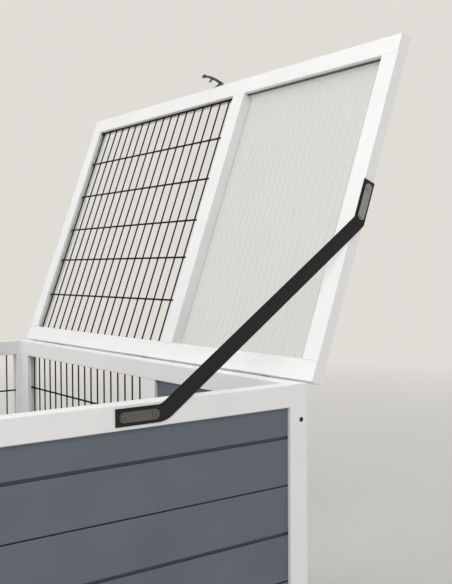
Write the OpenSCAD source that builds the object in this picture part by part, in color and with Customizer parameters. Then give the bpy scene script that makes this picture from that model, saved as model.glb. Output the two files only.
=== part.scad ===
// Guinea pig cage with a hinged roof: a wooden frame with wire mesh on the left,
// a boarded shelter on the right, a front door and a pull-out tray.
// The roof is drawn held open by its strap. X runs along the cage, Y to the rear, Z up.

/* [Cage] */
// Length of the box over its end panels
box_w = 913; // [700:1:1200]
// Depth of the box from front to rear
box_d = 526; // [400:1:700]
// Height of the box without the roof
box_h = 434; // [380:1:600]
// Thickness of the side panels
panel_t = 22; // [18:1:30]
// Height of the upper and lower rails
rail_h = 30; // [24:1:40]
// Width of the corner posts
post_w = 30; // [26:1:45]
// Chamfer along the edges of the wood
edge = 1; // [0.4:0.1:2]
// Height of the lower rails above the floor
leg_h = 37; // [30:1:60]
// Height of the opening that the tray slides through
tray_gap = 55; // [48:1:80]
// Thickness of the sill under the tray
sill_h = 18; // [12:1:24]

/* [Bays] */
// Width of the shelter between its stiles
shelter_w = 290; // [220:1:400]
// Width of the middle stiles
mid_w = 35; // [28:1:50]
// Width of the outer stiles of the front and rear panels
stile_w = 36; // [28:1:50]

/* [Mesh] */
// Diameter of the mesh's upright wires
wire_d = 2.8; // [1.6:0.1:3]
// Diameter of the mesh's cross wires
cross_wire_d = 3.4; // [1.6:0.1:3.6]
// How far crossing wires sink into each other at a weld
weld = 0.3; // [0.2:0.05:0.6]
// Spacing of the upright wires in the sides
wire_pitch = 25.3; // [20:0.1:40]
// Spacing of the wires that run along the roof's stiles
roof_pitch = 27.7; // [20:0.1:40]
// Spacing of the cross wires
cross_pitch = 76.7; // [50:0.1:100]
// Spacing of the roof's cross wires
roof_cross_pitch = 77.5; // [50:0.1:100]
// Width of the groove that holds the mesh
slot_w = 6.7; // [6.5:0.1:8]
// Depth of the grooves for mesh and boards
slot_d = 8; // [5:0.5:10]
// Gap between an inserted edge and the bottom of its groove
slot_gap = 1.5; // [0.3:0.1:3]

/* [Boards] */
// Thickness of the boards
board_t = 10; // [8:0.5:14]
// From the top of the box to the first bead
bead_drop = 70.4; // [50:0.1:90]
// From a bead to the next joint
bead_pitch = 64; // [40:1:90]
// Width of a bead
bead_w = 4.4; // [2:0.1:6]
// Depth of a bead
bead_d = 2.2; // [1:0.1:3]
// Width of the line between two boards
joint_w = 2; // [1:0.1:3]
// Thickness of a tongue
tongue_t = 3; // [2:0.1:4]
// Height of a tongue
tongue_h = 5; // [3:0.1:7]
// Side clearance of boards and tongues in their grooves
board_gap = 0.15; // [0.1:0.05:0.4]

/* [Roof] */
// Angle that the roof stands open, from closed
open_deg = 110; // [95:1:120]
// Thickness of the roof frame
roof_t = 19.5; // [16:0.5:25]
// How far the roof overhangs each end
roof_over = 4; // [1:0.5:10]
// Gap between the closed roof and the box
roof_gap = 0.6; // [0.3:0.1:3]
// Width of the rear roof rail
roof_rear_w = 30; // [24:1:45]
// Width of the front roof rail
roof_front_w = 31; // [24:1:45]
// Width of the left roof stile
roof_left_w = 33; // [24:1:45]
// Width of the right roof stile
roof_right_w = 31; // [24:1:45]
// Width of the middle roof stile
roof_mid_w = 32; // [24:1:45]
// Width of the roof's bay for the twin-wall sheet
roof_sheet_w = 326.6; // [250:0.1:450]
// Thickness of the twin-wall sheet
sheet_t = 4; // [3:0.5:6]
// How far the sheet laps over the roof's frame
sheet_lap = 22; // [20:1:26]
// Thickness of a wall of the sheet
sheet_wall = 0.5; // [0.4:0.1:0.8]
// Spacing of the ribs inside the sheet
rib_pitch = 14.5; // [8:0.5:16]

/* [Hinges] */
// Thickness of a hinge leaf
leaf_t = 1.2; // [0.8:0.1:1.6]
// Radius of a hinge knuckle
knuckle_r = 2.4; // [2:0.1:3]
// Radius of a hinge pin
pin_r = 1.2; // [0.8:0.1:1.4]
// Radial clearance of a pin in its knuckle
pin_gap = 0.05; // [0.03:0.01:0.08]
// Length of a roof hinge
roof_hinge_l = 60; // [40:1:90]
// Length of a door hinge
door_hinge_l = 40; // [30:1:60]
// Width of a leaf from the pin
leaf_w = 15; // [13:0.5:18]
// Gap between neighbouring knuckles
knuckle_gap = 0.3; // [0.2:0.1:0.5]

/* [Strap] */
// Width of the webbing
strap_w = 21; // [15:1:25]
// Thickness of the webbing
strap_t = 1.4; // [1:0.1:2]
// From the rear of the box to the strap's lower bend
strap_low = 229; // [180:1:300]
// From the roof's rear edge to the strap's upper bend
strap_high = 235; // [180:1:300]
// Length of the end on the box, from its bend
strap_low_end = 65; // [58:1:80]
// Length of the end on the roof, from its bend
strap_high_end = 61; // [58:1:80]
// Length of a strap plate
plate_l = 54; // [40:1:56]
// Width of a strap plate
plate_w = 12.5; // [11:0.5:18]
// Thickness of a strap plate
plate_t = 1.5; // [1:0.1:2]

/* [Latch] */
// Distance of the lever's pivot in front of the roof's edge
pivot_out = 13.5; // [11:0.5:16]
// Height of the lever's pivot above the roof's underside
pivot_up = 12; // [9:0.5:13]
// Width of the lever
lever_w = 5.5; // [5:0.5:10]
// Thickness of the lever
lever_t = 3.2; // [1.5:0.1:4]
// Diameter of the lever's rolled end
roll_d = 6.5; // [6:0.5:10]
// Radius of the lever's curve
lever_r = 68; // [50:1:90]

/* [Door] */
// Gap round the door
door_gap = 2; // [1:0.5:4]
// Width of the door's frame
door_frame_w = 30; // [28:1:40]
// Thickness of the door
door_t = 18; // [14:1:20]
// Radius of the bolt
bolt_r = 3; // [2:0.5:4]
// Travel of the bolt
bolt_travel = 10; // [6:1:12]

/* [Tray] */
// Height of the tray's walls
tray_h = 38; // [25:1:46]
// Thickness of the tray's walls
tray_wall = 2; // [1.5:0.5:3]
// Side gap between the tray and the end panels
tray_side = 3; // [1.5:0.5:6]
// Width of the tray's rim
tray_rim = 6; // [4:1:9]
// Radius of the tray's corners
tray_corner = 12; // [6:1:20]
// Length of the tray's pull between its posts
pull_l = 96; // [64:1:128]
// Radius of the pull
pull_r = 4; // [3:0.5:6]
// How far the pull stands out
pull_out = 24; // [20:1:32]

/* [Hidden] */
fine = 48;
wire_sides = 8;

// Play that keeps a sliding or resting piece clear of its neighbour
play = 0.3;

// Where the first wires lie, from the frame's inner edges
end_side_wire = 18.5;
end_cross_wire = 78;
rear_side_wire = 14.5;
rear_cross_wire = 69;
door_side_wire = 17;
door_cross_wire = 48;
roof_side_wire = 3.3;
roof_cross_wire = 77;
last_wire_gap = 4;

// Small screws, and the long ones that join the panels; long_drop is from the top of the box
screw_r = 1.5;
screw_head_r = 3;
screw_head_h = 1;
screw_head_taper = 0.6;
screw_l = 12;
screw_gap = 0.05;
long_r = 2;
long_head_r = 3.4;
long_head_h = 2.4;
long_l = 42;
long_drop = 47.7;

// Hinges
pin_out = knuckle_r + 0.1;
pin_drop = 0.5;
knuckles = 5;
pin_head_r = 2;
pin_head_h = 1;
roof_hinge_inset = 128;
leaf_screw_in = 9;
leaf_start = knuckle_r + play;
leaf_screw_up = (leaf_start + leaf_w) / 2;
lean = open_deg - 90;

// Reaches beyond the box, which put the origin under the middle of the open cage
roof_corner_reach = pin_out + sin(lean) * (pin_out + box_d)
    + cos(lean) * (pin_drop + roof_gap + roof_t);
lever_eye_r = 3;
latch_reach = pin_out + sin(lean) * (pin_out + box_d + pivot_out)
    + cos(lean) * (pin_drop + roof_gap + pivot_up) + lever_eye_r;
rear_reach = max(roof_corner_reach, latch_reach);
strap_gap = 0.1;
right_reach = roof_over + strap_gap + strap_t + plate_t + screw_head_h;
right_x = (roof_over + box_w + right_reach) / 2 - right_reach;
left_x = right_x - box_w;
front_y = -(pull_out + box_d + rear_reach) / 2 + pull_out;
rear_y = front_y + box_d;
in_left = left_x + panel_t;
in_right = right_x - panel_t;
in_rear = rear_y - panel_t;

// Bays of the front and rear panels
shelter_right = in_right - stile_w;
shelter_left = shelter_right - shelter_w;
run_right = shelter_left - mid_w;
run_left = in_left + stile_w;
front_low = leg_h + tray_gap;
bay_low = leg_h + rail_h;
bay_high = box_h - rail_h;
front_bay_low = front_low + rail_h;
held = slot_d - slot_gap;
board_slot = board_t + 2 * board_gap;

// Roof, measured closed
pin_y = rear_y + pin_out;
pin_z = box_h - pin_drop;
roof_z = box_h + roof_gap;
roof_left = left_x - roof_over;
roof_right = right_x + roof_over;
roof_in_left = roof_left + roof_left_w;
roof_in_right = roof_right - roof_right_w;
roof_in_front = front_y + roof_front_w;
roof_in_rear = rear_y - roof_rear_w;
roof_mid_right = roof_in_right - roof_sheet_w;
roof_mid_left = roof_mid_right - roof_mid_w;
box_mid = (left_x + right_x) / 2;
roof_hinge_x = [left_x + roof_hinge_inset, box_mid, right_x - roof_hinge_inset];

// Door
door_left = run_left + door_gap;
door_right = run_right - door_gap;
door_low = front_bay_low + door_gap;
door_high = bay_high - door_gap;
door_in_left = door_left + door_frame_w;
door_in_right = door_right - door_frame_w;
door_pin_x = run_left + door_gap / 2;
door_pin_y = front_y - pin_out;
door_hinge_inset = 55;
door_hinge_z = [door_low + door_hinge_inset, door_high - door_hinge_inset];

// Bolt: a rod in two guides on a plate, and a third guide on the middle stile as its keeper
bolt_z = (door_low + door_high) / 2;
bolt_wall = 1.5;
bolt_plate_y = front_y - leaf_t;
bolt_y = bolt_plate_y - bolt_wall - bolt_r;
bolt_inset = 0.5;
bolt_plate_h = 24;
bolt_end = door_right - bolt_wall;
bolt_screw_up = 8.6;
bolt_screws = [[-5, bolt_screw_up], [-17, -bolt_screw_up]];
guide_l = 6;
guide_wall = 2;
guide_y = bolt_y - bolt_r - bolt_wall;
guide_inset = 1;
keeper_l = 12;
keeper_gap = 0.4;
stem_r = 1.7;
bolt_plate_l = bolt_inset + 2 * guide_l + bolt_travel + 2 * (stem_r + play) + bolt_wall;
bolt_left = door_right - bolt_plate_l;
stem_l = bolt_y - guide_y + 1.5;
knob_r = 3.4;
knob_end_r = 2.4;
knob_h = 2.5;
knob_cap_h = 1.5;

// Tray
runner_h = 12;
runner_w = 20;
tray_left = in_left + tray_side;
tray_right = in_right - tray_side;
tray_z = leg_h + runner_h + play;
tray_front_t = 18;
tray_front_gap = 1.5;
tray_back = in_rear - tray_side;
pull_z = leg_h + tray_gap / 2;
pull_bend = 9;

// Strap plates, with the distance of their middles from the strap's bends
cage_plate_in = 33.8;
roof_plate_in = 29.3;
plate_corner = 0.48 * plate_w;
plate_screw_in = 6.2;
strap_head_r = 4;

// Where the roof sheet's screws are, as a share of each side from its corner
sheet_screw_at = 0.15;

// Bars of wood with chamfered edges
module bar_profile(w, h) {
    polygon([[edge, 0], [w - edge, 0], [w, edge], [w, h - edge],
        [w - edge, h], [edge, h], [0, h - edge], [0, edge]]);
}

module bar_x(at, length, w, h) {
    translate(at) rotate([90, 0, 90]) linear_extrude(length) bar_profile(w, h);
}

module bar_y(at, length, w, h) {
    translate([at[0], at[1] + length, at[2]])
        rotate([90, 0, 0]) linear_extrude(length) bar_profile(w, h);
}

module bar_z(at, length, w, h) {
    translate(at) linear_extrude(length) bar_profile(w, h);
}

module block(low, high) {
    translate(low) cube(high - low);
}

module round_rect(x0, y0, x1, y1, r) {
    translate([x0 + r, y0]) square([x1 - x0 - 2 * r, y1 - y0]);
    translate([x0, y0 + r]) square([x1 - x0, y1 - y0 - 2 * r]);
    for (x = [x0 + r, x1 - r], y = [y0 + r, y1 - r]) translate([x, y]) circle(r = r, $fn = fine);
}

// Ways that a screw's head can face; the shank runs the other way
module facing_rear() { rotate([-90, 0, 0]) children(); }
module facing_front() { rotate([90, 0, 0]) children(); }
module facing_right() { rotate([0, 90, 0]) children(); }
module facing_left() { rotate([0, -90, 0]) children(); }

module small_screw(head_r = screw_head_r) {
    translate([0, 0, -screw_l]) cylinder(r = screw_r, h = screw_l, $fn = fine);
    cylinder(r1 = head_r, r2 = head_r * screw_head_taper, h = screw_head_h, $fn = fine);
}

module small_bore() {
    translate([0, 0, -screw_l - play])
        cylinder(r = screw_r + screw_gap, h = screw_l + 2 * play, $fn = fine);
}

module long_screw(gap = 0) {
    translate([0, 0, -long_l - gap]) cylinder(r = long_r + gap, h = long_l + gap, $fn = fine);
    translate([0, 0, -long_head_h])
        cylinder(r1 = long_r + gap, r2 = long_head_r + gap, h = long_head_h + gap, $fn = fine);
}

// Long screws go through the posts into the front and rear panels
module at_corner_screws() {
    rear_spots = [leg_h + rail_h / 2, box_h - long_drop];
    front_spots = [leg_h - sill_h / 2, front_low + rail_h / 2, box_h - long_drop];
    for (panel = [[rear_y - panel_t / 2, rear_spots], [front_y + panel_t / 2, front_spots]])
        for (z = panel[1]) {
            translate([right_x, panel[0], z]) facing_right() children();
            translate([left_x, panel[0], z]) facing_left() children();
        }
}

module corner_bores() {
    at_corner_screws() long_screw(screw_gap);
}

// Welded mesh in the XY plane: wires along Y, with cross wires over them
module grille(w, h, side_wire, pitch, cross_wire, cross_step = cross_pitch) {
    wires = floor((w - side_wire - last_wire_gap) / pitch);
    crosses = floor((h - cross_wire) / cross_step);
    for (i = [0 : wires])
        translate([side_wire + i * pitch, -held, (weld - cross_wire_d) / 2]) rotate([-90, 0, 0])
            cylinder(d = wire_d, h = h + 2 * held, $fn = wire_sides);
    for (i = [0 : crosses])
        translate([-held, cross_wire + i * cross_step, (wire_d - weld) / 2]) rotate([0, 90, 0])
            cylinder(d = cross_wire_d, h = w + 2 * held, $fn = wire_sides);
}

// Tongued boards, one above the other, drawn as thickness by height
function joint_z(i) = box_h - bead_drop - bead_pitch * (2 * i + 1);
function bead_z(i) = box_h - bead_drop - bead_pitch * 2 * i;

module board_profile(low, high, bead, has_groove, has_tongue) {
    side = (board_t - tongue_t) / 2;
    has_bead = bead > low + bead_w && bead < high - bead_w;
    polygon(concat(
        [[0, low]],
        has_groove ? [[side - board_gap, low], [side - board_gap, low + tongue_h],
            [side + tongue_t + board_gap, low + tongue_h],
            [side + tongue_t + board_gap, low]] : [],
        [[board_t, low]],
        has_bead ? [[board_t, bead - bead_w / 2], [board_t - bead_d, bead - bead_w / 2],
            [board_t - bead_d, bead + bead_w / 2], [board_t, bead + bead_w / 2]] : [],
        [[board_t, high]],
        has_tongue ? [[side + tongue_t, high], [side + tongue_t, high + tongue_h],
            [side, high + tongue_h], [side, high]] : [],
        [[0, high]]));
}

module boards(bottom, length) {
    low = bottom - held;
    high = bay_high + held;
    count = ceil((joint_z(-1) - low) / (2 * bead_pitch));
    for (i = [0 : count - 1])
        linear_extrude(length)
            board_profile(i == count - 1 ? low : joint_z(i) + joint_w / 2,
                i == 0 ? high : joint_z(i - 1) - joint_w / 2,
                bead_z(i), i < count - 1, i > 0);
}

// Grooves in the frame, as slabs that reach into its members all round a bay
module slab_x(x0, x1, y, z0, z1, t) {
    block([x0 - slot_d, y - t / 2, z0 - slot_d], [x1 + slot_d, y + t / 2, z1 + slot_d]);
}

module slab_y(x, z0, z1, t) {
    block([x - t / 2, front_y + post_w - slot_d, z0 - slot_d],
        [x + t / 2, rear_y - post_w + slot_d, z1 + slot_d]);
}

module posts(x0) {
    for (y = [front_y, rear_y - post_w]) bar_z([x0, y, 0], box_h, panel_t, post_w);
}

module end_rails(x0) {
    for (z = [leg_h, bay_high])
        bar_y([x0, front_y + post_w, z], box_d - 2 * post_w, panel_t, rail_h);
}

// Right end: posts, rails and boards
module right_slab() { slab_y(right_x - panel_t / 2, bay_low, bay_high, board_slot); }

module right_posts() {
    color("white") difference() {
        posts(in_right);
        right_slab();
        corner_bores();
    }
}

module right_rails() {
    color("white") difference() {
        end_rails(in_right);
        right_slab();
        at_cage_strap_screws() small_bore();
    }
}

module right_boards() {
    color("slategray")
        translate([right_x - panel_t / 2 - board_t / 2, rear_y - post_w + held, 0])
            rotate([90, 0, 0]) boards(bay_low, box_d - 2 * post_w + 2 * held);
}

// Left end: posts, rails and mesh
module left_slab() { slab_y(left_x + panel_t / 2, bay_low, bay_high, slot_w); }

module left_posts() {
    color("white") difference() {
        posts(left_x);
        left_slab();
        corner_bores();
    }
}

module left_rails() {
    color("white") difference() {
        end_rails(left_x);
        left_slab();
    }
}

module left_mesh() {
    color("black") translate([left_x + panel_t / 2, rear_y - post_w, bay_high])
        rotate([-90, 0, -90])
            grille(box_d - 2 * post_w, bay_high - bay_low, end_side_wire, wire_pitch, end_cross_wire);
}

// Rear panel between the ends: mesh on the left, boards on the right
module rear_slabs() {
    slab_x(run_left, run_right, rear_y - panel_t / 2, bay_low, bay_high, slot_w);
    slab_x(shelter_left, shelter_right, rear_y - panel_t / 2, bay_low, bay_high, board_slot);
    corner_bores();
}

module rear_top_rail() {
    color("white") difference() {
        bar_x([in_left, in_rear, bay_high], in_right - in_left, panel_t, rail_h);
        rear_slabs();
        at_roof_hinges() at_leaf_screws(roof_hinge_l) small_bore();
    }
}

module rear_bottom_rail() {
    color("white") difference() {
        bar_x([in_left, in_rear, leg_h], in_right - in_left, panel_t, rail_h);
        rear_slabs();
    }
}

module rear_stile(x0, w) {
    color("white") difference() {
        bar_z([x0, in_rear, bay_low], bay_high - bay_low, w, panel_t);
        rear_slabs();
    }
}

module rear_left_stile() { rear_stile(in_left, stile_w); }
module rear_middle_stile() { rear_stile(run_right, mid_w); }
module rear_right_stile() { rear_stile(shelter_right, stile_w); }

module rear_mesh() {
    color("black") translate([run_left, rear_y - panel_t / 2, bay_high])
        rotate([-90, 0, 0])
            grille(run_right - run_left, bay_high - bay_low, rear_side_wire, wire_pitch, rear_cross_wire);
}

module rear_boards() {
    color("slategray")
        translate([shelter_left - held, rear_y - panel_t / 2 - board_t / 2, 0])
            rotate([90, 0, 90]) boards(bay_low, shelter_w + 2 * held);
}

// Front panel: a doorway on the left, boards on the right, and the tray below
module front_slabs() {
    slab_x(shelter_left, shelter_right, front_y + panel_t / 2, front_bay_low, bay_high, board_slot);
    corner_bores();
}

module front_top_rail() {
    color("white") difference() {
        bar_x([in_left, front_y, bay_high], in_right - in_left, panel_t, rail_h);
        front_slabs();
        at_latch() at_latch_screws(keeper_screw_up) small_bore();
    }
}

module front_lower_rail() {
    color("white") difference() {
        bar_x([in_left, front_y, front_low], in_right - in_left, panel_t, rail_h);
        front_slabs();
    }
}

module front_stile(x0, w) {
    color("white") difference() {
        bar_z([x0, front_y, front_bay_low], bay_high - front_bay_low, w, panel_t);
        front_slabs();
        at_door_hinges() at_leaf_screws(door_hinge_l) small_bore();
        at_keeper_screws() small_bore();
    }
}

module front_left_stile() { front_stile(in_left, stile_w); }
module front_middle_stile() { front_stile(run_right, mid_w); }
module front_right_stile() { front_stile(shelter_right, stile_w); }

module front_boards() {
    color("slategray")
        translate([shelter_right + held, front_y + panel_t / 2 + board_t / 2, 0])
            rotate([90, 0, -90]) boards(front_bay_low, shelter_w + 2 * held);
}

module front_sill() {
    color("white") difference() {
        bar_x([in_left, front_y, leg_h - sill_h], in_right - in_left, panel_t, sill_h);
        corner_bores();
    }
}

// Battens that the tray slides on
module tray_runners() {
    color("burlywood") {
        for (x = [in_left, in_right - runner_w])
            bar_y([x, front_y + post_w, leg_h], box_d - 2 * post_w, runner_w, runner_h);
        bar_y([shelter_left - mid_w, front_y + tray_front_t + play, leg_h],
            in_rear - front_y - tray_front_t - play, runner_w, runner_h);
    }
}

module corner_screws() {
    color("dimgray") at_corner_screws() long_screw();
}

// Roof: everything on it is drawn closed, then swung open about the hinge pins
module open_roof() {
    translate([0, pin_y, pin_z]) rotate([-open_deg, 0, 0]) translate([0, -pin_y, -pin_z]) children();
}

// The groove for the mesh runs on along the rails, past the bay that the sheet covers
module roof_groove(right) {
    z = roof_z + roof_t / 2;
    block([roof_in_left - slot_d, roof_in_front - slot_d, z - slot_w / 2],
        [right + slot_d, roof_in_rear + slot_d, z + slot_w / 2]);
}

module at_sheet_screws() {
    low = [roof_mid_right, roof_in_front] - [1, 1] * sheet_lap / 2;
    size = [roof_sheet_w, roof_in_rear - roof_in_front] + [1, 1] * sheet_lap;
    for (t = [sheet_screw_at, 1 - sheet_screw_at], side = [0, 1], spot = [[t, side], [side, t]])
        translate([low[0] + spot[0] * size[0], low[1] + spot[1] * size[1], roof_z + roof_t + sheet_t])
            children();
}

module roof_rear_rail() {
    color("white") open_roof() difference() {
        bar_x([roof_left, roof_in_rear, roof_z], roof_right - roof_left, roof_rear_w, roof_t);
        roof_groove(roof_in_right);
        at_roof_hinges() mirror([0, 0, 1]) at_leaf_screws(roof_hinge_l) small_bore();
        at_sheet_screws() small_bore();
    }
}

module roof_front_rail() {
    color("white") open_roof() difference() {
        bar_x([roof_left, front_y, roof_z], roof_right - roof_left, roof_front_w, roof_t);
        roof_groove(roof_in_right);
        at_latch() at_latch_screws(bracket_screw_up) small_bore();
        at_sheet_screws() small_bore();
    }
}

module roof_stile(x0, w) {
    color("white") open_roof() difference() {
        bar_y([x0, roof_in_front, roof_z], roof_in_rear - roof_in_front, w, roof_t);
        roof_groove(roof_mid_left);
        at_roof_strap_screws() small_bore();
        at_sheet_screws() small_bore();
    }
}

module roof_left_stile() { roof_stile(roof_left, roof_left_w); }
module roof_middle_stile() { roof_stile(roof_mid_left, roof_mid_w); }
module roof_right_stile() { roof_stile(roof_in_right, roof_right_w); }

module roof_mesh() {
    color("black") open_roof()
        translate([roof_in_left, roof_in_rear, roof_z + roof_t / 2]) rotate([180, 0, 0])
            grille(roof_mid_left - roof_in_left, roof_in_rear - roof_in_front,
                roof_side_wire, roof_pitch, roof_cross_wire, roof_cross_pitch);
}

// Twin-wall sheet with its ribs along the stiles, screwed onto the frame's outer face
module roof_sheet() {
    low = [roof_mid_right - sheet_lap, roof_in_front - sheet_lap, roof_z + roof_t];
    size = [roof_sheet_w + 2 * sheet_lap, roof_in_rear - roof_in_front + 2 * sheet_lap, sheet_t];
    cells = floor((size[0] - sheet_wall) / rib_pitch);
    margin = (size[0] - cells * rib_pitch + sheet_wall) / 2;
    color("whitesmoke", 0.5) open_roof() difference() {
        translate(low) cube(size);
        for (i = [0 : cells - 1])
            translate(low + [margin + i * rib_pitch, -play, sheet_wall])
                cube([rib_pitch - sheet_wall, size[1] + 2 * play, sheet_t - 2 * sheet_wall]);
        at_sheet_screws() small_bore();
    }
}

// Butt hinge: the pin lies along X, the leaf hangs down along -Z against wood at Y = -pin_out
module hinge_leaf(length, moving) {
    part = length / knuckles;
    difference() {
        union() {
            block([-length / 2, -pin_out, -leaf_w], [length / 2, -pin_out + leaf_t, -leaf_start]);
            for (i = [(moving ? 1 : 0) : 2 : knuckles - 1])
                translate([-length / 2 + i * part + knuckle_gap / 2, 0, 0]) {
                    rotate([0, 90, 0])
                        cylinder(r = knuckle_r, h = part - knuckle_gap, $fn = fine);
                    block([0, -pin_out, -leaf_start - edge], [part - knuckle_gap, -pin_out + leaf_t, 0]);
                }
        }
        translate([-length / 2 - play, 0, 0]) rotate([0, 90, 0])
            cylinder(r = pin_r + pin_gap, h = length + 2 * play, $fn = fine);
        at_leaf_screws(length) small_bore();
    }
}

module hinge_pin(length) {
    rotate([0, 90, 0]) {
        cylinder(r = pin_r, h = length, center = true, $fn = fine);
        for (end = [-1, 1]) translate([0, 0, end * (length + pin_head_h) / 2])
            cylinder(r = pin_head_r, h = pin_head_h, center = true, $fn = fine);
    }
}

module at_leaf_screws(length) {
    for (side = [-1, 1])
        translate([side * (length / 2 - leaf_screw_in), -pin_out + leaf_t, -leaf_screw_up])
            facing_rear() children();
}

module at_roof_hinges() {
    for (x = roof_hinge_x) translate([x, pin_y, pin_z]) children();
}

module at_door_hinges() {
    for (z = door_hinge_z) translate([door_pin_x, door_pin_y, z])
        rotate([0, -90, 0]) rotate([180, 0, 0]) children();
}

module roof_hinge_cage_leaves() {
    color("silver") at_roof_hinges() hinge_leaf(roof_hinge_l, false);
}

module roof_hinge_roof_leaves() {
    color("silver") open_roof() at_roof_hinges() mirror([0, 0, 1]) hinge_leaf(roof_hinge_l, true);
}

module roof_hinge_pins() {
    color("silver") at_roof_hinges() hinge_pin(roof_hinge_l);
}

// Strap: webbing in the YZ plane from the right top rail up to the roof's right stile
low_face = right_x + strap_gap;
high_face = roof_right + strap_gap;
function swing(p) = [
    pin_y + cos(open_deg) * (p[0] - pin_y) + sin(open_deg) * (p[1] - pin_z),
    pin_z - sin(open_deg) * (p[0] - pin_y) + cos(open_deg) * (p[1] - pin_z)
];
function across(d) = [-d[1], d[0]];
low_bend = [rear_y - strap_low, box_h - rail_h / 2];
high_bend = swing([rear_y - strap_high, roof_z + roof_t / 2]);
low_way = [1, 0];
span_way = (high_bend - low_bend) / norm(high_bend - low_bend);
high_way = [sin(lean), cos(lean)];
low_mitre = (across(low_way) + across(span_way)) / (1 + low_way * span_way) * strap_w / 2;
high_mitre = (across(span_way) + across(high_way)) / (1 + span_way * high_way) * strap_w / 2;

// Draws a YZ outline as a slab of thickness t on the face at x
module on_side(x, t) {
    translate([x, 0, 0]) rotate([90, 0, 90]) linear_extrude(t) children();
}

module strap_cage_end() {
    tail = low_bend - low_way * strap_low_end;
    half = across(low_way) * strap_w / 2;
    color("#2b2b2b") difference() {
        on_side(low_face, strap_t)
            polygon([tail - half, low_bend - low_mitre, low_bend + low_mitre, tail + half]);
        at_cage_strap_screws() small_bore();
    }
}

module strap_roof_end() {
    tail = high_bend + high_way * strap_high_end;
    half = across(high_way) * strap_w / 2;
    color("#2b2b2b") difference() {
        on_side(high_face, strap_t)
            polygon([high_bend - high_mitre, tail - half, tail + half, high_bend + high_mitre]);
        open_roof() at_roof_strap_screws() small_bore();
    }
}

// The span has crossed to the roof's side before it comes level with the roof frame
module strap_span() {
    lip = span_way * edge;
    half = across(span_way) * strap_w / 2;
    turn = acos(span_way * high_way);
    crossed = high_bend
        - span_way * (roof_t + strap_w * cos(turn) + strap_w * sin(turn)) / (2 * sin(turn));
    color("#2b2b2b") {
        hull() {
            on_side(low_face, strap_t)
                polygon([low_bend - low_mitre, low_bend + lip, low_bend + low_mitre]);
            on_side(high_face, strap_t)
                polygon([crossed - half, crossed + half, crossed + half + lip, crossed - half + lip]);
        }
        on_side(high_face, strap_t)
            polygon([crossed - half, high_bend - high_mitre, high_bend + high_mitre, crossed + half]);
    }
}

cage_plate_mid = [rear_y - strap_low - cage_plate_in, box_h - rail_h / 2];
roof_plate_mid = [rear_y - strap_high - roof_plate_in, roof_z + roof_t / 2];

module strap_plate(x, mid) {
    on_side(x, plate_t) translate(mid) difference() {
        round_rect(-plate_l / 2, -plate_w / 2, plate_l / 2, plate_w / 2, plate_corner);
        for (end = [-1, 1]) translate([end * (plate_l / 2 - plate_screw_in), 0])
            circle(r = screw_r + screw_gap, $fn = fine);
    }
}

module at_strap_screws(x, mid) {
    for (end = [-1, 1])
        translate([x, mid[0] + end * (plate_l / 2 - plate_screw_in), mid[1]]) facing_right() children();
}

module at_cage_strap_screws() { at_strap_screws(low_face + strap_t + plate_t, cage_plate_mid) children(); }
module at_roof_strap_screws() { at_strap_screws(high_face + strap_t + plate_t, roof_plate_mid) children(); }

module cage_strap_plate() {
    color("#5b5753") strap_plate(low_face + strap_t, cage_plate_mid);
}

module roof_strap_plate() {
    color("#5b5753") open_roof() strap_plate(high_face + strap_t, roof_plate_mid);
}

// Latch on the roof's front edge, drawn as distance out by height above the roof's underside
pivot = [pivot_out, pivot_up];
pivot_r = 1.3;
roll = [8, -28];
roll_bore_r = 1.6;
claw_root = [13.6, -7];
claw_bend = [9.8, -10.9];
claw_tip = [5, -12.8];
claw_r = 1.2;
claw_w = 5;
ear_t = 1;
ear_gap = 0.4;
bracket_t = 1.5;
bracket_low = 2;
bracket_high = 17.5;
bracket_w = 24;
bracket_screw_up = 9.5;
latch_screw_x = 8.6;
rivet_r = 2.1;
rivet_h = 1;
ear_r = 2.8;
sector = 1.2;
keeper_t = 1;
keeper_screw_up = -14;
keeper_low = -18;
keeper_high = -5;
lip_low = -10.4;
lip_high = -8.8;
lip_out = 3.4;
lip_w = claw_w + 2;

module at_latch() { translate([box_mid, front_y, roof_z]) children(); }

module at_latch_screws(up) {
    t = up > 0 ? bracket_t : keeper_t;
    for (x = [-1, 1]) translate([x * latch_screw_x, -t, up]) facing_front() children();
}

// Extrudes an outline of distance out by height along X, centred
module latch_extrude(w) {
    rotate([90, 0, 90]) translate([0, 0, -w / 2]) linear_extrude(w) mirror([1, 0]) children();
}

module latch_bracket() {
    reach = lever_w / 2 + ear_gap;
    color("#6f6f6c") open_roof() at_latch() difference() {
        union() {
            block([-bracket_w / 2, -bracket_t, bracket_low], [bracket_w / 2, 0, bracket_high]);
            for (side = [-1, 1]) translate([side * (reach + ear_t / 2), 0, 0]) latch_extrude(ear_t) {
                polygon([[bracket_t / 2, bracket_low], pivot - [0, ear_r],
                    pivot + [0, ear_r], [bracket_t / 2, bracket_high]]);
                translate(pivot) circle(r = ear_r, $fn = fine);
            }
        }
        latch_extrude(bracket_w) translate(pivot) circle(r = pivot_r + screw_gap, $fn = fine);
        at_latch_screws(bracket_screw_up) small_bore();
    }
}

module latch_pin() {
    w = lever_w + 2 * (ear_gap + ear_t);
    color("silver") open_roof() at_latch() {
        latch_extrude(w) translate(pivot) circle(r = pivot_r, $fn = fine);
        for (side = [-1, 1]) translate([side * (w + rivet_h) / 2, 0, 0])
            latch_extrude(rivet_h) translate(pivot) circle(r = rivet_r, $fn = fine);
    }
}

module lever_arc() {
    chord = roll - pivot;
    way = chord / norm(chord);
    depth = sqrt(lever_r * lever_r - norm(chord) * norm(chord) / 4);
    middle = (pivot + roll) / 2 + [way[1], -way[0]] * depth;
    intersection() {
        translate(middle) difference() {
            circle(r = lever_r + lever_t / 2, $fn = 4 * fine);
            circle(r = lever_r - lever_t / 2, $fn = 4 * fine);
        }
        polygon([middle, middle + sector * (pivot - middle), middle + sector * (roll - middle)]);
    }
}

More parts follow.
